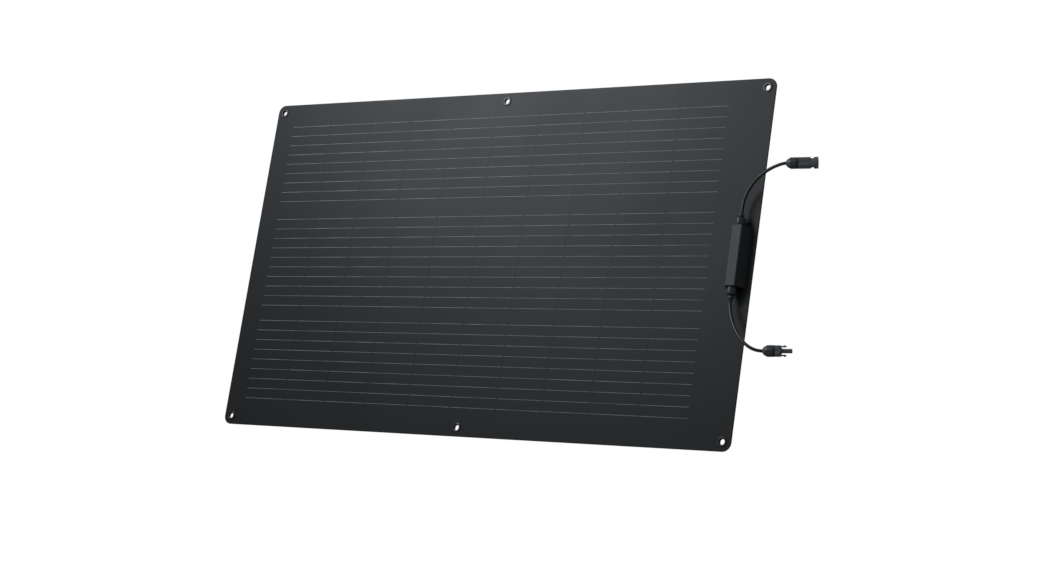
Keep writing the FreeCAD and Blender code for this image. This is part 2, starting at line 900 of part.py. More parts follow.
def cable_parts(cable):
    """The jacket in three lengths, parted where the cable bends, and one wire through them."""
    outer = DIMENSIONS["cable_radius"]
    inner = DIMENSIONS["cable_bore"]
    gap = outer + DIMENSIONS["joint_play"]
    jacket_in_box = DIMENSIONS["box_wall"] + DIMENSIONS["jacket_past_wall"]
    jacket_in_plug = DIMENSIONS["jacket_in_plug"]

    wall, start = cable.wall, cable.start
    root_start = wall - FreeCAD.Vector(0, 0, cable.sign * jacket_in_box)
    root_end = start - FreeCAD.Vector(0, 0, cable.sign * gap)
    root_line = Part.makeLine(root_start, root_end)
    root = sweep([root_line], outer).cut(sweep([root_line], inner))
    solid_node(root, f"{cable.name}_cable_root")

    run_line = cable.line(0, cable.back_from(cable.bend, gap))
    bore = sweep([cable.lead_in(jacket_in_box), run_line], inner)
    run = sweep([run_line], outer).fuse(ball_at(start)).cut(bore)
    solid_node(run, f"{cable.name}_cable_run")

    pivot = cable.curve.value(cable.bend)
    end_line = cable.line(cable.bend, 1)
    tail = cable.lead_out(jacket_in_plug)
    past = DIMENSIONS["overlap"]
    bore_line = cable.line(cable.back_from(cable.bend, gap + past), 1)
    bore = sweep([bore_line, cable.lead_out(jacket_in_plug + past)], inner)
    end = sweep([end_line, tail], outer).fuse(ball_at(pivot)).cut(bore)
    solid_node(end, f"{cable.name}_cable_end")

    wire_in_box = DIMENSIONS["box_length"] / 2 - DIMENSIONS["lead_z"] - DIMENSIONS["plate_reach"]
    tail = cable.lead_out(DIMENSIONS["wire_in_plug"])
    wire_line = [cable.lead_in(wire_in_box), cable.line(0, 1), tail]
    solid_node(sweep(wire_line, DIMENSIONS["wire_radius"]), f"{cable.name}_cable_wire")


UPPER = Cable("upper", 1, DIMENSIONS["upper_plug_z"], leave=58, arrive=14, bend=0.6)
LOWER = Cable("lower", -1, DIMENSIONS["lower_plug_z"], leave=20, arrive=40, bend=0.72)


# ---------------------------------------------------------------- connectors


NUT_GROOVES = 8


def turned_node(thing, plug_z, label):
    """A connector piece, built along x and turned with its cable about the cable's entry."""
    entry = FreeCAD.Vector(d.plug_x.number, -d.plug_depth.number, plug_z.number)
    thing.Placement = FreeCAD.Placement(FreeCAD.Vector(), PLUG_TURN, entry)
    node(thing, label)


def cap_nut(label, plug_z):
    """A domed nut with grip grooves that squeezes the seal onto the cable."""
    body = new_body("CapNut")
    outline = sketch_on(body, "XY_Plane")
    end = d.nut_length
    thread = d.tail_radius + d.thread_play
    polygon(
        outline,
        (
            (0, d.nut_mouth),
            (0, d.nut_nose),
            (d.nut_shoulder_at, d.nut_shoulder),
            (d.nut_full_at, d.nut_radius),
            (end, d.nut_radius),
            (end, thread),
            (d.seal_end, thread),
            (d.seal_end, d.seal_radius),
            (d.nut_wall, d.seal_radius),
            (d.nut_wall, d.nut_mouth),
        ),
    )
    revolve(body, outline, "H_Axis")
    place(body, d.plug_x, -d.plug_depth, plug_z)
    ring = d.nut_radius + d.nut_groove_lift
    grooves = []
    for k in range(NUT_GROOVES):
        angle = 2 * math.pi * (k + 0.5) / NUT_GROOVES
        depth = ring * math.cos(angle) - d.plug_depth
        up = ring * math.sin(angle) + plug_z
        start = d.nut_groove_at
        stop = end - d.nut_groove_stop
        groove = rod(d.nut_groove_radius, start, stop, x=d.plug_x, y=depth, z=up, along="x")
        grooves.append(groove)
    turned_node(cut(body, grooves), plug_z, label)


def connector_rod(plug_z, radius, start, end):
    return rod(radius, start, end, x=d.plug_x, y=-d.plug_depth, z=plug_z, along="x")


def connector_box(plug_z, low, high):
    """A block given from the connector's own axis and cable end."""
    corner = (d.plug_x, -d.plug_depth, plug_z)
    return box([a + b for a, b in zip(corner, low)], [a + b for a, b in zip(corner, high)])


def cable_seal(label, plug_z):
    """The sleeve squeezed onto the cable and the ring squeezed between nut and housing."""
    play = d.thread_play
    sleeve = connector_rod(plug_z, d.seal_radius - play, d.nut_wall + play, d.seal_end - play)
    cable = connector_rod(plug_z, d.cable_radius + d.cable_play, d.nut_wall, d.seal_end)
    ring = connector_rod(plug_z, d.seal_ring_radius, d.nut_length + play, d.collar_at - play)
    thread = connector_rod(plug_z, d.tail_radius + play, d.nut_length, d.collar_at)
    turned_node(group([cut(sleeve, [cable]), cut(ring, [thread])]), plug_z, label)


def slabs(plug_z, start, stop, from_axis, reach):
    """Cutters above and below a connector that leave it flat at a distance from its axis."""
    pair = []
    for sign in (-1, 1):
        low, high = between(from_axis * sign, reach * sign)
        pair.append(connector_box(plug_z, (start, -reach, low), (stop, reach, high)))
    return pair


def face_slabs(plug_z, start, stop, from_axis, reach):
    """The same in front of and behind the connector."""
    pair = []
    for sign in (-1, 1):
        low, high = between(from_axis * sign, reach * sign)
        pair.append(connector_box(plug_z, (start, low, -reach), (stop, high, reach)))
    return pair


def ribs(plug_z, start, stop, root, rise):
    """Two raised ribs along the front and back flats of a connector."""
    bars = []
    for face in (-1, 1):
        for side in (-1, 1):
            near, far = between(root * face, rise * face)
            low = d.rib_offset * side - d.rib_width / 2
            high = d.rib_offset * side + d.rib_width / 2
            bars.append(connector_box(plug_z, (start, near, low), (stop, far, high)))
    return bars


def notch(plug_z, reach):
    """A latch window: a ramp down from the grip flat to the floor, then a square wall."""
    body = new_body("Notch")
    outline = sketch_on(body, "XZ_Plane")
    floor_at = d.notch_at + d.notch_slope
    corners = (
        (d.notch_at, d.grip_flat),
        (floor_at, d.notch_floor),
        (d.notch_end, d.notch_floor),
        (d.notch_end, reach),
        (d.notch_at, reach),
    )
    polygon(outline, corners)
    pad(body, outline, reach * 2, both_ways=True)
    return place(body, d.plug_x, -d.plug_depth, plug_z)


def latch_slots(plug_z):
    """Slots through the mouth's end wall that let a plug's latch arms into the windows."""
    half = d.slot_width / 2
    start = d.notch_end - d.overlap
    stop = d.socket_length + d.overlap
    pair = []
    for sign in (-1, 1):
        low, high = between(d.notch_floor * sign, d.slot_top * sign)
        pair.append(connector_box(plug_z, (start, -half, low), (stop, half, high)))
    return pair


def socket_body():
    """The socket housing: threaded tail, ribbed flat grip, two latch windows, open mouth."""
    z = d.upper_plug_z
    end = d.socket_length
    past = d.overlap
    reach = d.socket_radius + past
    tail = connector_rod(z, d.tail_radius, d.tail_at, d.collar_at)
    barrel = connector_rod(z, d.socket_radius, d.collar_at, end)
    window = notch(z, reach)
    below = mirrored(window, (0, 0, 1), (0, 0, z.number))
    cutters = [
        connector_rod(z, d.cable_room, d.tail_at - past, d.socket_room_end),
        connector_rod(z, d.socket_mouth, d.socket_room_end - past, end + past),
        window,
        below,
    ]
    cutters += slabs(z, d.collar_at, d.notch_at, d.grip_flat, reach)
    cutters += face_slabs(z, d.collar_at, d.notch_end, d.grip_face, reach)
    cutters += latch_slots(z)
    shell = cut(fuse([tail, barrel]), cutters)
    bars = ribs(z, d.collar_at + d.rib_start, d.notch_at, d.grip_face - past, d.rib_rise)
    turned_node(fuse([shell] + bars), z, "socket_body")


def socket_contact():
    z = d.upper_plug_z
    room = d.socket_room_end
    barrel = connector_rod(z, d.contact_radius, d.contact_at, room)
    pin = connector_rod(z, d.socket_pin, room - d.overlap, d.socket_pin_end)
    turned_node(fuse([barrel, pin]), z, "socket_contact")


def plug_body():
    """The plug housing: threaded tail, ribbed flange and a tube on a round foot."""
    z = d.lower_plug_z
    end = d.plug_length
    collar = d.collar_end
    past = d.overlap
    reach = d.plug_radius + past
    tail = connector_rod(z, d.tail_radius, d.tail_at, d.collar_at)
    flange = connector_rod(z, d.plug_radius, d.collar_at, collar)
    foot = connector_rod(z, d.tube_foot, collar - past, collar + d.tube_foot_length)
    tube = connector_rod(z, d.tube_radius, collar - past, end)
    bores = [
        connector_rod(z, d.cable_room, d.tail_at - past, d.plug_room_end + past),
        connector_rod(z, d.tube_bore, d.plug_room_end, end + past),
    ]
    bores += face_slabs(z, d.collar_at, collar + past, d.grip_face, reach)
    bores += slabs(z, d.collar_at, collar + past, d.plug_flat, reach)
    shell = cut(fuse([tail, flange, foot, tube]), bores)
    bars = ribs(z, d.collar_at + d.rib_start, collar - d.rib_start, d.grip_face - past, d.rib_rise)
    turned_node(fuse([shell] + bars), z, "plug_body")


def plug_contact():
    z = d.lower_plug_z
    barrel = connector_rod(z, d.contact_radius, d.contact_at, d.plug_room_end)
    pin_end = d.plug_length - d.pin_short
    pin = connector_rod(z, d.pin_radius, d.plug_room_end - d.overlap, pin_end)
    hollow = connector_rod(z, d.pin_bore, pin_end - d.pin_bore_depth, pin_end + d.overlap)
    turned_node(cut(fuse([barrel, pin]), [hollow]), z, "plug_contact")


def latch_arm(label, sign):
    """A springy arm with a barb; its root is round about the line on which it bends."""
    body = new_body("LatchArm")
    outline = sketch_on(body, "XZ_Plane")
    half = d.latch_thickness / 2
    barb_at = d.latch_length - d.barb_length
    points = [
        (0, -half),
        (d.latch_length - d.barb_tip, -half),
        (d.latch_length, 0),
        (barb_at, half + d.barb_height),
        (barb_at, half),
        (0, half),
    ]
    polygon(outline, [(across, up if sign > 0 else -size(up)) for across, up in points])
    pad(body, outline, d.latch_width, both_ways=True)
    up = d.lower_plug_z + d.latch_height * sign
    place(body, d.plug_x + LATCH_PIVOT, -d.plug_depth, up)
    root = doc.addObject("Part::Cylinder", "Root")
    bind(root, "Radius", half)
    bind(root, "Height", d.latch_width)
    turn = FreeCAD.Rotation(FreeCAD.Vector(1, 0, 0), 90)
    root.Placement = FreeCAD.Placement(FreeCAD.Vector(), turn)
    place(root, d.plug_x + LATCH_PIVOT, d.latch_width / 2 - d.plug_depth, up)
    turned_node(fuse([body, root]), d.lower_plug_z, label)


LATCH_PIVOT = d.collar_end + d.latch_thickness / 2 + d.thread_play


# ---------------------------------------------------------------- build and write


def build():
    backsheet()
    core_strips()
    rear_encapsulant()
    cell_columns()
    string_ribbons()
    bus_ribbons()
    front_encapsulant()
    front_film()
    eyelets()
    adhesive_pad()
    box_base()
    box_gasket()
    box_lid()
    terminal_plates()
    bypass_diode()
    potting()
    gland_nuts()
    gland_sleeves()
    cable_parts(UPPER)
    cable_parts(LOWER)
    cap_nut("socket_cap_nut", d.upper_plug_z)
    cable_seal("socket_seal", d.upper_plug_z)
    socket_body()
    socket_contact()
    cap_nut("plug_cap_nut", d.lower_plug_z)
    cable_seal("plug_seal", d.lower_plug_z)
    plug_body()
    plug_contact()
    latch_arm("upper_latch_arm", 1)
    latch_arm("lower_latch_arm", -1)


def write():
    doc.recompute()
    for thing in doc.Objects:
        if {"Invalid", "Error"} & set(thing.State):
            raise RuntimeError(f"{thing.Name} ({thing.Label}) failed: {thing.State}")
    os.makedirs("parts", exist_ok=True)
    for thing in nodes:
        shape = thing.Shape
        if shape.isNull() or not shape.isValid() or not shape.Solids:
            raise RuntimeError(f"{thing.Label} has no valid solid")
        shape.exportStep(f"parts/{thing.Label}.step")
    print(len(nodes), "sub-parts written")


build()
write()
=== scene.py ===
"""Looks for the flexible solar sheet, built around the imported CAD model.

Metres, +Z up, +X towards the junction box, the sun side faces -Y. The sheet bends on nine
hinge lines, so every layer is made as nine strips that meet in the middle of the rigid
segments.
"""
import json
import math

import bpy
from mathutils import Matrix, Vector
from mathutils.geometry import delaunay_2d_cdt


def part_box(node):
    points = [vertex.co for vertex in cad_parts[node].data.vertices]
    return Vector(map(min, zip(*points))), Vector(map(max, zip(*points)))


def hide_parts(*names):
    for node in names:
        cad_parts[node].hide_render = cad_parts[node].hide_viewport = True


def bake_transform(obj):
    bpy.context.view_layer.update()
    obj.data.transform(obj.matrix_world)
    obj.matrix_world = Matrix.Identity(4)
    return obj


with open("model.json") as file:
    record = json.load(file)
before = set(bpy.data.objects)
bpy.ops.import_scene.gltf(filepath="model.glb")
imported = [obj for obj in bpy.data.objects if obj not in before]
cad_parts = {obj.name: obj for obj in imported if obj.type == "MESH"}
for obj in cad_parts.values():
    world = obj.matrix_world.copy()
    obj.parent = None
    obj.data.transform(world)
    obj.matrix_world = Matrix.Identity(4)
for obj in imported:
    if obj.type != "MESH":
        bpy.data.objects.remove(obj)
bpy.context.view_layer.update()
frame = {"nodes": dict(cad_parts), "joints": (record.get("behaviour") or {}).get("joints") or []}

MM = 0.001
JOINTS = {joint["name"]: joint for joint in frame["joints"]}

# ---------------------------------------------------------------- places read from the frame

FILM_LOW, FILM_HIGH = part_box("front_film")
CORE_LOW, CORE_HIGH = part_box("core_strip_06")
BACK_LOW, BACK_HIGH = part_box("backsheet")
HALF_X = FILM_HIGH.x
HALF_Z = FILM_HIGH.z
SUN_Y = FILM_LOW.y
BACK_Y = BACK_HIGH.y
HINGES = [JOINTS[f"sheet_bend_{k}"]["pos_m"][0] for k in range(1, 10)]
PITCH = HINGES[1] - HINGES[0]
SEAMS = [(a + b) / 2 for a, b in zip(HINGES, HINGES[1:])]
STRIP_ENDS = [-HALF_X] + SEAMS + [HALF_X]
ARRAY_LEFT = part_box("cell_column_01")[0].x
ARRAY_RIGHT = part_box("cell_column_10")[1].x

CORNER_RADIUS = 15 * MM
EYELET_HOLE = 5.45 * MM
EYELET_BORE = 4.75 * MM
DIMPLE_RADIUS = 8.5 * MM
DIMPLE_DEPTH = 0.1 * MM
RIBBON_WIDTH = 0.9 * MM
RIBBON_PROUD = 0.09 * MM
RIBBON_BREAK = 1.5 * MM

# The painted shade where each ribbon dips into a gap between cell columns: a dark mark laid on the film.
DIP_SHADE_REACH = 1.2 * MM
DIP_SHADE_DROP = 0.5 * MM
DIP_SHADE_WIDTH = 1.7 * MM
DIP_SHADE_PROUD = 0.05 * MM

# How far the film's piece reaches back over the glue layer, the soft lip at its rim, and how
# far the core is set back from the edge.
FILM_SKIN = 0.45 * MM
FILM_LIP = 0.3 * MM
CORE_SET_BACK = 0.12 * MM


def pair_centres(node):
    """The two centres (x, z) of a node that holds an upper and a lower ring."""
    low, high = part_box(node)
    radius = (high.x - low.x) / 2
    across = (low.x + high.x) / 2
    return [(across, high.z - radius), (across, low.z + radius)]


HOLES = [spot for side in ("left", "middle", "right") for spot in pair_centres(f"{side}_eyelets")]


def ribbon_levels():
    """Middle heights of the ribbons that lie on cells, read from the CAD ribbons."""
    edges = sorted({round(v.co.z, 6) for v in frame["nodes"]["string_ribbons"].data.vertices})
    levels = []
    for low, high in zip(edges, edges[1:]):
        if 0.4 * MM < high - low < 2 * MM:
            levels.append((low + high) / 2)
    return levels


# ---------------------------------------------------------------- material helpers


class Nodes:
    """Short calls for building one material's node tree."""

    def __init__(self, name):
        self.material = bpy.data.materials.new(name)
        self.material.use_nodes = True
        self.tree = self.material.node_tree
        self.shader = self.tree.nodes["Principled BSDF"]

    def add(self, kind, **settings):
        made = self.tree.nodes.new(kind)
        for key, value in settings.items():
            setattr(made, key, value)
        return made

    def link(self, source, target):
        self.tree.links.new(source, target)

    def feed(self, target, value):
        """Sets an input to a plain value or links another node's output to it."""
        if isinstance(value, bpy.types.NodeSocket):
            self.link(value, target)
        else:
            target.default_value = value

    def place(self, rest=False):
        """Coordinates in metres; rest ones stay put while a blended piece bends."""
        if rest:
            return self.add("ShaderNodeAttribute", attribute_name="rest").outputs["Vector"]
        return self.add("ShaderNodeTexCoord").outputs["Object"]

    def noise(self, place, scale, detail=2.0, stretch=None):
        if stretch:
            mapping = self.add("ShaderNodeMapping")
            mapping.inputs["Scale"].default_value = stretch
            self.link(place, mapping.inputs["Vector"])
            place = mapping.outputs["Vector"]
        texture = self.add("ShaderNodeTexNoise")
        texture.inputs["Scale"].default_value = scale
        texture.inputs["Detail"].default_value = detail
        self.link(place, texture.inputs["Vector"])
        return texture.outputs["Fac"]

    def spread(self, value, low, high, start=0.3, end=0.7):
        """Maps a value's start..end to low..high."""
        ranged = self.add("ShaderNodeMapRange")
        self.link(value, ranged.inputs["Value"])
        for key, number in (("From Min", start), ("From Max", end), ("To Min", low), ("To Max", high)):
            ranged.inputs[key].default_value = number
        return ranged.outputs["Result"]

    def math(self, operation, first, second=0.0):
        made = self.add("ShaderNodeMath", operation=operation)
        self.feed(made.inputs[0], first)
        self.feed(made.inputs[1], second)
        return made.outputs[0]

    def mix(self, amount, dark, light):
        made = self.add("ShaderNodeMix", data_type="RGBA")
        self.feed(made.inputs["Factor"], amount)
        self.feed(made.inputs["A"], dark)
        self.feed(made.inputs["B"], light)
        return made.outputs["Result"]

    def bump(self, height, distance, strength=1.0, normal=None):
        made = self.add("ShaderNodeBump")
        made.inputs["Distance"].default_value = distance
        made.inputs["Strength"].default_value = strength
        self.link(height, made.inputs["Height"])
        if normal:
            self.link(normal, made.inputs["Normal"])
        return made.outputs["Normal"]

    def surface(self, **inputs):
        names = {"color": "Base Color", "rough": "Roughness", "metal": "Metallic", "normal": "Normal"}
        names |= {"ior": "IOR", "coat": "Coat Weight", "coat_rough": "Coat Roughness"}
        names |= {"glow": "Emission Color", "glow_strength": "Emission Strength"}
        for key, value in inputs.items():
            self.feed(self.shader.inputs[names[key]], value)
        return self.material


def grey(level, blue=0.0):
    return (level, level * (1 + blue * 0.5), level * (1 + blue), 1.0)


def moulded_plastic(name, level, rough, grain=0.02 * MM, blue=0.04, rest=False):
    """Moulded plastic or rubber: faint mottling, fine spark grain and uneven gloss."""
    n = Nodes(name)
    place = n.place(rest)
    cloud = n.noise(place, 60, 3)
    fine = n.noise(place, 2600, 2)
    color = n.mix(n.spread(cloud, 0, 1), grey(level * 0.88, blue), grey(level * 1.12, blue))
    return n.surface(
        color=color,
        rough=n.spread(cloud, rough - 0.04, rough + 0.05),
        normal=n.bump(fine, grain),
    )


def film_material():
    """Embossed front film over black cells: satin charcoal, with cells barely told apart."""
    n = Nodes("front_film_satin")
    place = n.place(rest=True)
    split = n.add("ShaderNodeSeparateXYZ")
    n.link(place, split.inputs[0])
    cloud = n.noise(place, 5, 3)
    speck = n.noise(place, 900, 3)
    color = n.mix(n.spread(cloud, 0, 1), grey(0.0032, 0.5), grey(0.0048, 0.4))
    fine = n.bump(speck, 0.025 * MM, 0.5)
    gap = column_gap_line(n, split.outputs["X"])
    color = n.mix(gap, color, grey(0.002, 0.3))
    return n.surface(color=color, rough=n.spread(cloud, 0.44, 0.50), normal=fine, ior=1.42)


GAP_HALF_WIDTH = 1.1 * MM


def column_gap_line(n, across):
    """One where the point lies over a gap between two cell columns, zero elsewhere."""
    offset = n.math("SUBTRACT", across, HINGES[0])
    cycle = n.math("PINGPONG", offset, PITCH / 2)
    return n.math("LESS_THAN", cycle, GAP_HALF_WIDTH)


def ribbon_material():
    n = Nodes("ribbon_under_film")
    place = n.place(rest=True)
    patch = n.noise(place, 22, 3, stretch=(1.0, 1.0, 6.0))
    color = n.mix(n.spread(patch, 0, 1), grey(0.12, 0.03), grey(0.32, 0.03))
    return n.surface(color=color, rough=0.42, ior=1.42)


def metal_material(name, color, rough, metal=1.0):
    n = Nodes(name)
    place = n.place()
    cloud = n.noise(place, 90, 3)
    fine = n.noise(place, 1800, 2)
    return n.surface(
        color=n.mix(n.spread(cloud, 0, 1), tuple(c * 0.85 for c in color) + (1,), tuple(color) + (1,)),
        rough=n.spread(fine, rough - 0.05, rough + 0.08),
        metal=metal,
        normal=n.bump(fine, 0.01 * MM, 0.4),
    )


FILM = film_material()
RIBBON = ribbon_material()
# The dark colour of the marks at the ribbon dips is painted shade, not the ribbons' own colour.
RIBBON_DIP_SHADE = moulded_plastic("ribbon_dip", 0.008, 0.6, rest=True)
LAMINATE = moulded_plastic("laminate_edge", 0.012, 0.55, rest=True)
BACKSHEET = moulded_plastic("backsheet_matte", 0.022, 0.62, grain=0.04 * MM, rest=True)
EYELET = metal_material("eyelet_black_nickel", (0.075, 0.075, 0.08), 0.28)
BOX_TUB = moulded_plastic("box_tub", 0.012, 0.5)
BOX_LID = moulded_plastic("box_lid", 0.05, 0.48)
GLAND = moulded_plastic("gland_plastic", 0.034, 0.36, grain=0.01 * MM)
RUBBER = moulded_plastic("seal_rubber", 0.010, 0.66)
JACKET = moulded_plastic("cable_jacket", 0.016, 0.3, grain=0.004 * MM, rest=True)
NUT_PLASTIC = moulded_plastic("cap_nut_plastic", 0.062, 0.36, grain=0.01 * MM)
# Lighter than the cap nut plastic: the bodies are a little lighter in reality, and the rest of the
# difference is painted light on their flat faces.
HOUSING = moulded_plastic("housing_plastic", 0.13, 0.36, grain=0.01 * MM)
BRASS = metal_material("terminal_brass", (0.6, 0.48, 0.2), 0.3)
TINNED = metal_material("tinned_metal", (0.62, 0.62, 0.6), 0.28)

# ---------------------------------------------------------------- mesh helpers


def new_piece(name, vertices, faces, material, sharp=35):
    """A mesh object that remembers each vertex's place at rest for its material."""
    mesh = bpy.data.meshes.new(name)
    mesh.from_pydata([tuple(v) for v in vertices], [], faces)
    mesh.validate()
    mesh.update()
    rest = mesh.attributes.new("rest", "FLOAT_VECTOR", "POINT")
    rest.data.foreach_set("vector", [c for v in mesh.vertices for c in v.co])
    mesh.materials.append(material)
    mesh.shade_smooth()
    mesh.set_sharp_from_angle(angle=math.radians(sharp))
    piece = bpy.data.objects.new(name, mesh)
    bpy.context.scene.collection.objects.link(piece)
    return piece


def edge_height(across, inset):
    """Half the sheet's height at x, with rounded corners and an inset from the edge."""
    past = abs(across) - (HALF_X - CORNER_RADIUS)
    if past <= 0:
        return HALF_Z - inset
    radius = CORNER_RADIUS - inset
    return HALF_Z - CORNER_RADIUS + math.sqrt(max(radius * radius - past * past, 0))


def steps(start, end, longest):
    count = max(1, math.ceil((end - start) / longest - 1e-6))
    return [start + (end - start) * k / count for k in range(count + 1)]


BEND_STEP = PITCH / 16


def column_places(left, right):
    """The x places of a strip's vertical edge lines, closer together round the corners."""
    places = set()
    for hinge_side in steps(left, right, BEND_STEP):
        places.add(round(hinge_side, 7))
    centre = HALF_X - CORNER_RADIUS
    for sign, end in ((-1, left), (1, right)):
        if abs(abs(end) - HALF_X) < 1e-6:
            places = {x for x in places if abs(x) < centre}
            places |= {
                round(sign * (centre + CORNER_RADIUS * math.sin(math.radians(a))), 7)
                for a in range(0, 91, 6)
            }
    return sorted(places)


def inset_place(across, inset):
    """Moves a corner column inwards with the rounded outline; others stay in place."""
    past = abs(across) - (HALF_X - CORNER_RADIUS)
    if past <= 0:
        return across
    scale = (CORNER_RADIUS - inset) / CORNER_RADIUS
    return math.copysign(HALF_X - CORNER_RADIUS + past * scale, across)


HOLE_SIDES = 48
PATCH = 10 * MM


def holes_between(left, right):
    """The eyelet holes of one strip, the lower one first."""
    return sorted(spot for spot in HOLES if left < spot[0] < right)


class Layer:
    """The points of one level of a strip: vertical columns of edge points, and hole rings."""

    def __init__(self, vertices, places, holes, ring, flat):
        self.vertices = vertices
        self.inset, self.radius, self.depth = ring
        self.holes = holes
        inner = [x for x in places if holes and abs(x - holes[0][0]) >= PATCH]
        self.first = max([x for x in inner if x < holes[0][0]], default=None) if holes else None
        self.last = min([x for x in inner if x > holes[0][0]], default=None) if holes else None
        self.columns = [self.column(x, flat) for x in places]
        self.rings = [self.ring(spot) for spot in holes]

    def point(self, across, up):
        self.vertices.append((across, self.depth, up))
        return len(self.vertices) - 1

    def by_a_hole(self, place):
        return bool(self.holes) and self.first <= place <= self.last

    def column(self, place, flat):
        """Point numbers up one column; beside a hole it is parted above and below the hole."""
        across = inset_place(place, self.inset)
        height = edge_height(across, self.inset)
        levels = [-height, height]
        if flat and self.by_a_hole(place):
            for _, up in self.holes:
                levels[-1:-1] = [up - PATCH, up + PATCH]
        return [self.point(across, up) for up in levels]

    def ring(self, spot):
        across, up = spot
        turns = [2 * math.pi * k / HOLE_SIDES for k in range(HOLE_SIDES)]
        radius = self.radius
        return [self.point(across + radius * math.cos(a), up + radius * math.sin(a)) for a in turns]

    def outline(self):
        return [column[0] for column in self.columns] + [column[-1] for column in self.columns[::-1]]

    def flat_faces(self):
        """Faces that fill the level, turned towards the sun side."""
        faces = []
        beside = [len(column) > 2 for column in self.columns]
        for k, (near, far) in enumerate(zip(self.columns, self.columns[1:])):
            if beside[k] and beside[k + 1]:
                for low in range(0, len(near), 2):
                    faces.append([near[low + 1], near[low], far[low], far[low + 1]])
            else:
                faces.append(near[::-1] + far)
        parted = [column for column in self.columns if len(column) > 2]
        for k, ring in enumerate(self.rings):
            low, high = 2 * k + 1, 2 * k + 2
            frame_loop = [column[low] for column in parted] + [column[high] for column in parted[::-1]]
            faces += self.patch_faces(frame_loop, ring)
        return faces

    def patch_faces(self, outer, ring):
        """Triangles between a hole and the rectangle round it."""
        numbers = outer + ring
        points = [Vector((self.vertices[i][0], self.vertices[i][2])) for i in numbers]
        split = len(outer)
        edges = [(k, (k + 1) % split) for k in range(split)]
        edges += [(split + k, split + (k + 1) % len(ring)) for k in range(len(ring))]
        _, _, triangles, sources, _, _ = delaunay_2d_cdt(points, edges, [], 1, 1e-9)
        kept = []
        for triangle in triangles:
            corners = [sources[i][0] for i in triangle]
            if min(corners) < split:
                kept.append([numbers[i] for i in corners])
        return kept


def slab(name, left, right, rings, material):
    """A closed layer between two x places; rings lists (inset, hole radius, y) front to back."""
    places = column_places(left, right)
    holes = holes_between(left, right)
    vertices, faces = [], []
    last = len(rings) - 1
    layers = [Layer(vertices, places, holes, ring, k in (0, last)) for k, ring in enumerate(rings)]
    faces += layers[0].flat_faces()
    faces += [face[::-1] for face in layers[-1].flat_faces()]
    for front, back in zip(layers, layers[1:]):
        walls = [(front.outline(), back.outline())]
        walls += [(near[::-1], far[::-1]) for near, far in zip(front.rings, back.rings)]
        for near, far in walls:
            for k in range(len(near)):
                after = (k + 1) % len(near)
                faces.append([near[k], far[k], far[after], near[after]])
    return new_piece(name, vertices, faces, material, sharp=10)


def lathe(vertices, faces, centre, profile, sides=64):
    """A ring turned about an axis along y; profile lists (radius, y) round its section."""
    start = len(vertices)
    count = len(profile)
    for k in range(sides):
        angle = 2 * math.pi * k / sides
        for radius, depth in profile:
            across = centre[0] + radius * math.cos(angle)
            up = centre[1] + radius * math.sin(angle)
            vertices.append((across, depth, up))
    for k in range(sides):
        for j in range(count):
            a, b = start + k * count, start + (k + 1) % sides * count
            after = (j + 1) % count
            faces.append([a + j, a + after, b + after, b + j])


def tube(name, path, radius, material, sides=24):
    """A round bar along a list of points; the path never runs along y."""
    vertices, faces = [], []
    for k, point in enumerate(path):
        ahead = path[min(k + 1, len(path) - 1)] - path[max(k - 1, 0)]
        other = ahead.cross(Vector((0, 1, 0))).normalized()
        side = other.cross(ahead).normalized()
        for j in range(sides):
            angle = 2 * math.pi * j / sides
            vertices.append(point + (side * math.cos(angle) + other * math.sin(angle)) * radius)
    for k in range(len(path) - 1):
        for j in range(sides):
            a, b = k * sides + j, k * sides + (j + 1) % sides
            faces.append([a, b, b + sides, a + sides])
    faces.append(list(range(sides))[::-1])
    last = (len(path) - 1) * sides
    faces.append(list(range(last, last + sides)))
    return new_piece(name, vertices, faces, material)


# ---------------------------------------------------------------- the laminate


def bend_with(piece):
    """Bakes a strip's placement into its mesh."""
    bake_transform(piece)
    return piece


def laminate_strip(k):
    """Front film, core and backsheet of one strip; the middle layer is set back at the edge."""
    left, right = STRIP_ENDS[k - 1], STRIP_ENDS[k]
    hole = EYELET_HOLE
    film_back = FILM_HIGH.y + FILM_SKIN
    film_rings = [
        (FILM_LIP, hole, SUN_Y),
        (FILM_LIP * 0.3, hole, SUN_Y + 0.06 * MM),
        (0, hole, SUN_Y + 0.25 * MM),
        (0, hole, film_back),
    ]
    film = slab(f"front_film_{k:02d}", left, right, film_rings, FILM)
    core_rings = [(CORE_SET_BACK, hole, film_back), (CORE_SET_BACK, hole, BACK_LOW.y)]
    core = slab(f"laminate_core_{k:02d}", left, right, core_rings, LAMINATE)
    dimple = BACK_Y - DIMPLE_DEPTH
    back_rings = [
        (0, hole, BACK_LOW.y),
        (0, hole, dimple - 0.02 * MM),
        (0, DIMPLE_RADIUS, dimple),
        (0.1 * MM, DIMPLE_RADIUS, BACK_Y),
    ]
    back = slab(f"backsheet_{k:02d}", left, right, back_rings, BACKSHEET)
    for piece in (film, core, back):
        bend_with(piece)
    return film, core, back


def ridge(vertices, faces, left, right, up, width, proud, sink=0.05 * MM):
    """A low rounded ridge along x on the sun face, closed underneath and at its ends."""
    profile = [(-0.5, -sink), (-0.34, proud * 0.8), (0, proud), (0.34, proud * 0.8), (0.5, -sink)]
    places = steps(left, right, BEND_STEP)
    start = len(vertices)
    count = len(profile)
    for across in places:
        for share, rise in profile:
            vertices.append((across, SUN_Y - rise, up + share * width))
    for k in range(len(places) - 1):
        for j in range(count):
            a, b = start + k * count + j, start + k * count + (j + 1) % count
            faces.append([a, b, b + count, a + count])
    last = start + (len(places) - 1) * count
    faces.append([start + j for j in range(count)][::-1])
    faces.append([last + j for j in range(count)])


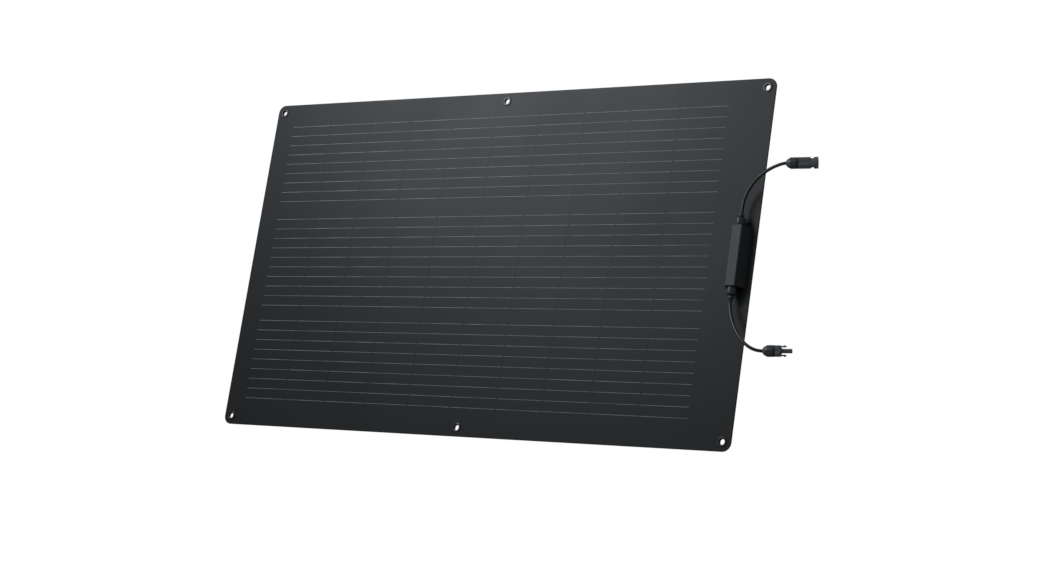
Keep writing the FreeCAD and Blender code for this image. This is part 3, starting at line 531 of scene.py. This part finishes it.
def ribbon_strip(k, levels):
    """The ribbons that show through one strip of film, broken at the gap between columns, with a dark
    mark of painted shade just below each break.
    """
    hinge = HINGES[k - 1]
    left = max(STRIP_ENDS[k - 1], ARRAY_LEFT)
    right = min(STRIP_ENDS[k], ARRAY_RIGHT)
    vertices, faces = [], []
    shade_points, shade_faces = [], []
    for up in levels:
        ridge(vertices, faces, left, hinge - RIBBON_BREAK, up, RIBBON_WIDTH, RIBBON_PROUD)
        ridge(vertices, faces, hinge + RIBBON_BREAK, right, up, RIBBON_WIDTH, RIBBON_PROUD)
        # A dark mark painted just below each break stands for the shade where the ribbon dips into the
        # gap.
        shade_ends = (hinge - DIP_SHADE_REACH, hinge + DIP_SHADE_REACH)
        ridge(shade_points, shade_faces, *shade_ends, up - DIP_SHADE_DROP, DIP_SHADE_WIDTH, DIP_SHADE_PROUD)
    lines = new_piece(f"ribbon_lines_{k:02d}", vertices, faces, RIBBON)
    shade_marks = new_piece(f"ribbon_dip_shades_{k:02d}", shade_points, shade_faces, RIBBON_DIP_SHADE)
    bend_with(lines)
    bend_with(shade_marks)
    return lines


def middle_eyelets():
    """The two eyelets and washers at the middle, where the sheet bends under them."""
    low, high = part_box("middle_eyelets")
    flange = (high.x - low.x) / 2
    front, curl_back = low.y, high.y
    washer_low, washer_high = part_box("middle_eyelet_washers")
    curl = EYELET_HOLE + 1.05 * MM
    lip = SUN_Y - front
    eyelet = [(EYELET_BORE, curl_back - 0.25 * MM), (EYELET_BORE, front + lip * 0.6)]
    for k in range(13):
        angle = math.radians(180 - 15 * k)
        middle = (flange + EYELET_BORE) / 2
        reach = (flange - EYELET_BORE) / 2
        eyelet.append((middle + reach * math.cos(angle), front + lip * 0.6 * (1 - math.sin(angle))))
    eyelet += [
        (flange, SUN_Y),
        (EYELET_HOLE - 0.02 * MM, SUN_Y),
        (EYELET_HOLE - 0.02 * MM, washer_high.y),
        (curl, washer_high.y),
        (curl, curl_back - 0.2 * MM),
        (curl - 0.2 * MM, curl_back),
        (EYELET_BORE + 0.3 * MM, curl_back),
    ]
    bore = EYELET_HOLE + 0.1 * MM
    edge = 0.15 * MM
    washer = [
        (bore, washer_low.y),
        (bore, washer_high.y),
        (flange - edge, washer_high.y),
        (flange, washer_high.y - edge),
        (flange, washer_low.y),
    ]
    for label, profile, material in (("eyelet", eyelet, EYELET), ("washer", washer, TINNED)):
        vertices, faces = [], []
        for centre in pair_centres("middle_eyelets"):
            lathe(vertices, faces, centre, profile)
        piece = new_piece(f"middle_{label}_rings", vertices, faces, material)
        bend_with(piece)
    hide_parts("middle_eyelets")
    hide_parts("middle_eyelet_washers")


def laminate():
    levels = ribbon_levels()
    for k in range(1, len(HINGES) + 1):
        film, core, back = laminate_strip(k)
        lines = ribbon_strip(k, levels)
        if k == 1:
            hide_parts("front_film")
            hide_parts("backsheet")
            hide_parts("string_ribbons", "left_bus_ribbons")
            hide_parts("front_encapsulant", "rear_encapsulant")
        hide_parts(f"core_strip_{k:02d}", f"cell_column_{k:02d}")
        if k == len(HINGES):
            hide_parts(f"core_strip_{k + 1:02d}", f"cell_column_{k + 1:02d}")


laminate()
middle_eyelets()

# ---------------------------------------------------------------- cables


def bezier(poles, count):
    """Points along a four-pole curve."""
    points = []
    for k in range(count + 1):
        t = k / count
        s = 1 - t
        weights = (s**3, 3 * s * s * t, 3 * s * t * t, t**3)
        points.append(sum((p * w for p, w in zip(poles, weights)), Vector()))
    return points


def straight(start, end, count):
    return [start.lerp(end, k / count) for k in range(count)]


# How far each cable runs straight out of its gland, and straight back from its plug.
CABLE_REACH = {"upper": (58 * MM, 14 * MM), "lower": (20 * MM, 40 * MM)}
CABLE_PARTING = 0.36
CABLE_STEPS = 96
NUT_JOINT_AT = 10 * MM
JACKET_IN_PLUG = 7.8 * MM


def cable(name, sign, nut_turn):
    """One cable as two tubes that part where the middle body alone carries them."""
    leave, arrive = CABLE_REACH[name]
    start = Vector(JOINTS[f"{name}_cable_swing"]["pos_m"])
    along = Vector(JOINTS[nut_turn]["axis"]).normalized()
    plug = Vector(JOINTS[nut_turn]["pos_m"]) - along * NUT_JOINT_AT
    up = Vector((0, 0, sign))
    curve = bezier([start, start + up * leave, plug - along * arrive, plug], CABLE_STEPS)
    root_low, root_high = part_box(f"{name}_cable_root")
    inside = root_low.z if sign > 0 else root_high.z
    entry = Vector((start.x, start.y, inside))
    radius = (root_high.x - root_low.x) / 2
    parting = round(CABLE_PARTING * CABLE_STEPS)
    lead = straight(entry, start, 24)
    near = tube(f"{name}_cable_near", lead + curve[: parting + 1], radius, JACKET)
    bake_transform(near)
    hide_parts(f"{name}_cable_root", f"{name}_cable_run")
    tail = plug + along * JACKET_IN_PLUG
    far_path = curve[parting:-1] + straight(plug, tail, 6) + [tail]
    far = tube(f"{name}_cable_far", far_path, radius, JACKET)
    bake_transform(far)
    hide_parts(f"{name}_cable_end", f"{name}_cable_wire")


cable("upper", 1, "socket_nut_turn")
cable("lower", -1, "plug_nut_turn")

# ---------------------------------------------------------------- CAD pieces that stay

FINISHES = {
    EYELET: ["left_eyelets", "right_eyelets"],
    TINNED: [
        "left_eyelet_washers",
        "right_eyelet_washers",
        "right_bus_ribbons",
        "socket_contact",
        "plug_contact",
    ],
    BOX_TUB: ["box_base", "bypass_diode", "potting"],
    BOX_LID: ["box_lid"],
    GLAND: ["gland_nuts", "gland_sleeves"],
    RUBBER: ["adhesive_pad", "box_gasket", "socket_seal", "plug_seal"],
    BRASS: ["terminal_plates"],
    NUT_PLASTIC: ["socket_cap_nut", "plug_cap_nut", "upper_latch_arm", "lower_latch_arm"],
    HOUSING: ["socket_body", "plug_body"],
}
SOFT_EDGES = {
    "socket_body": 0.35,
    "socket_cap_nut": 0.4,
    "plug_body": 0.35,
    "plug_cap_nut": 0.4,
    "gland_nuts": 0.4,
    "upper_latch_arm": 0.2,
    "lower_latch_arm": 0.2,
}


def finish_cad_nodes():
    for material, names in FINISHES.items():
        for name in names:
            node = frame["nodes"][name]
            node.data.materials.clear()
            node.data.materials.append(material)
    for name, width in SOFT_EDGES.items():
        node = frame["nodes"][name]
        weld = node.modifiers.new("weld", "WELD")
        weld.merge_threshold = 0.001 * MM
        bevel = node.modifiers.new("soft_edge", "BEVEL")
        bevel.width = width * MM
        bevel.segments = 3
        bevel.limit_method = "ANGLE"
        bevel.angle_limit = math.radians(40)
        bevel.use_clamp_overlap = True


finish_cad_nodes()

# ---------------------------------------------------------------- studio


# A faintly blue light, and the paper colour that looks neutral in it.
DAYLIGHT = (0.885, 0.942, 1.0)
PAPER = (0.8, 0.752, 0.708, 1.0)
FLOOR_GLOW = 0.35


def soft_lamp(name, place, aim, size, power):
    """A round area light at one place, turned towards another."""
    light = bpy.data.lights.new(name, "AREA")
    light.shape = "DISK"
    light.size = size
    light.energy = power
    light.color = DAYLIGHT
    lamp = bpy.data.objects.new(name, light)
    bpy.context.scene.collection.objects.link(lamp)
    lamp.location = place
    towards = Vector(place) - Vector(aim)
    lamp.rotation_euler = towards.to_track_quat("Z", "Y").to_euler()
    return lamp


# The studio's glow comes most from this direction and fades to the far side.
BRIGHT_SIDE = Vector((-0.51, -0.61, 0.61))
NEAR_GLOW = 0.31
FAR_GLOW = 0.09


def studio_world():
    """White to the camera; for light, a dim glow that fades from the bright side round."""
    world = bpy.data.worlds.new("studio")
    world.use_nodes = True
    bpy.context.scene.world = world
    tree = world.node_tree
    nodes, links = tree.nodes, tree.links
    background = nodes["Background"]
    coordinates = nodes.new("ShaderNodeTexCoord")
    facing = nodes.new("ShaderNodeVectorMath")
    facing.operation = "DOT_PRODUCT"
    facing.inputs[1].default_value = BRIGHT_SIDE
    ramp = nodes.new("ShaderNodeMapRange")
    ramp.inputs["From Min"].default_value = -1.0
    ramp.inputs["From Max"].default_value = 1.0
    ramp.inputs["To Min"].default_value = FAR_GLOW
    ramp.inputs["To Max"].default_value = NEAR_GLOW
    rays = nodes.new("ShaderNodeLightPath")
    level = nodes.new("ShaderNodeMix")
    links.new(coordinates.outputs["Generated"], facing.inputs[0])
    links.new(facing.outputs["Value"], ramp.inputs["Value"])
    links.new(rays.outputs["Is Camera Ray"], level.inputs["Factor"])
    links.new(ramp.outputs["Result"], level.inputs["A"])
    level.inputs["B"].default_value = 1.0
    tint = nodes.new("ShaderNodeMix")
    tint.data_type = "RGBA"
    tint.inputs["A"].default_value = DAYLIGHT + (1.0,)
    tint.inputs["B"].default_value = (1.0, 1.0, 1.0, 1.0)
    links.new(rays.outputs["Is Camera Ray"], tint.inputs["Factor"])
    links.new(tint.outputs["Result"], background.inputs["Color"])
    links.new(level.outputs["Result"], background.inputs["Strength"])


def pale_floor():
    """A plain floor just under the sheet, seen only from above; it throws no light back."""
    size = 6.0
    height = -HALF_Z - 1 * MM
    corners = [(-size, -size, height), (size, -size, height), (size, size, height), (-size, size, height)]
    mesh = bpy.data.meshes.new("floor")
    mesh.from_pydata(corners, [], [(0, 1, 2, 3)])
    floor = bpy.data.objects.new("floor", mesh)
    bpy.context.scene.collection.objects.link(floor)
    floor.visible_diffuse = False
    floor.visible_glossy = False
    n = Nodes("floor_paper")
    n.surface(color=PAPER, rough=0.9, glow=grey(0.8), glow_strength=FLOOR_GLOW)
    clear = n.add("ShaderNodeBsdfTransparent")
    side = n.add("ShaderNodeNewGeometry")
    blend = n.add("ShaderNodeMixShader")
    n.link(side.outputs["Backfacing"], blend.inputs[0])
    n.link(n.shader.outputs[0], blend.inputs[1])
    n.link(clear.outputs[0], blend.inputs[2])
    n.link(blend.outputs[0], n.tree.nodes["Material Output"].inputs["Surface"])
    mesh.materials.append(n.material)


EYE_PLACE = (2.1015, -2.8329, -0.7649)
EYE_FORWARD = Vector((-0.56671, 0.79821, 0.20421))
EYE_UP = Vector((-0.00502, -0.25120, 0.96792))
EYE_LENS = 72.1


def studio_camera():
    """The camera stands to the right of the sheet's middle and below it, looking slightly up."""
    camera = bpy.data.cameras.new("camera")
    camera.lens = EYE_LENS
    camera.sensor_width = 36
    camera.clip_end = 50
    eye = bpy.data.objects.new("camera", camera)
    bpy.context.scene.collection.objects.link(eye)
    forward = EYE_FORWARD.normalized()
    right = forward.cross(EYE_UP).normalized()
    up = right.cross(forward)
    turn = Matrix((right, up, -forward)).transposed()
    eye.matrix_world = Matrix.Translation(EYE_PLACE) @ turn.to_4x4()
    bpy.context.scene.camera = eye


# The window lights the sheet from its left, the key shapes the box, and the fill stands
# behind the sheet so that its back can be seen.
studio_world()
pale_floor()
soft_lamp("window", (-0.74, -1.11, 0.82), (0, 0, 0.1), 1.14, 13.6)
soft_lamp("key", (-1.149, -1.713, 2.178), (0, 0, 0), 0.9, 3.3)
soft_lamp("fill", (-0.6, 1.9, 1.1), (0, 0, 0), 1.2, 9.0)
studio_camera()
bpy.context.scene.view_settings.view_transform = "Standard"
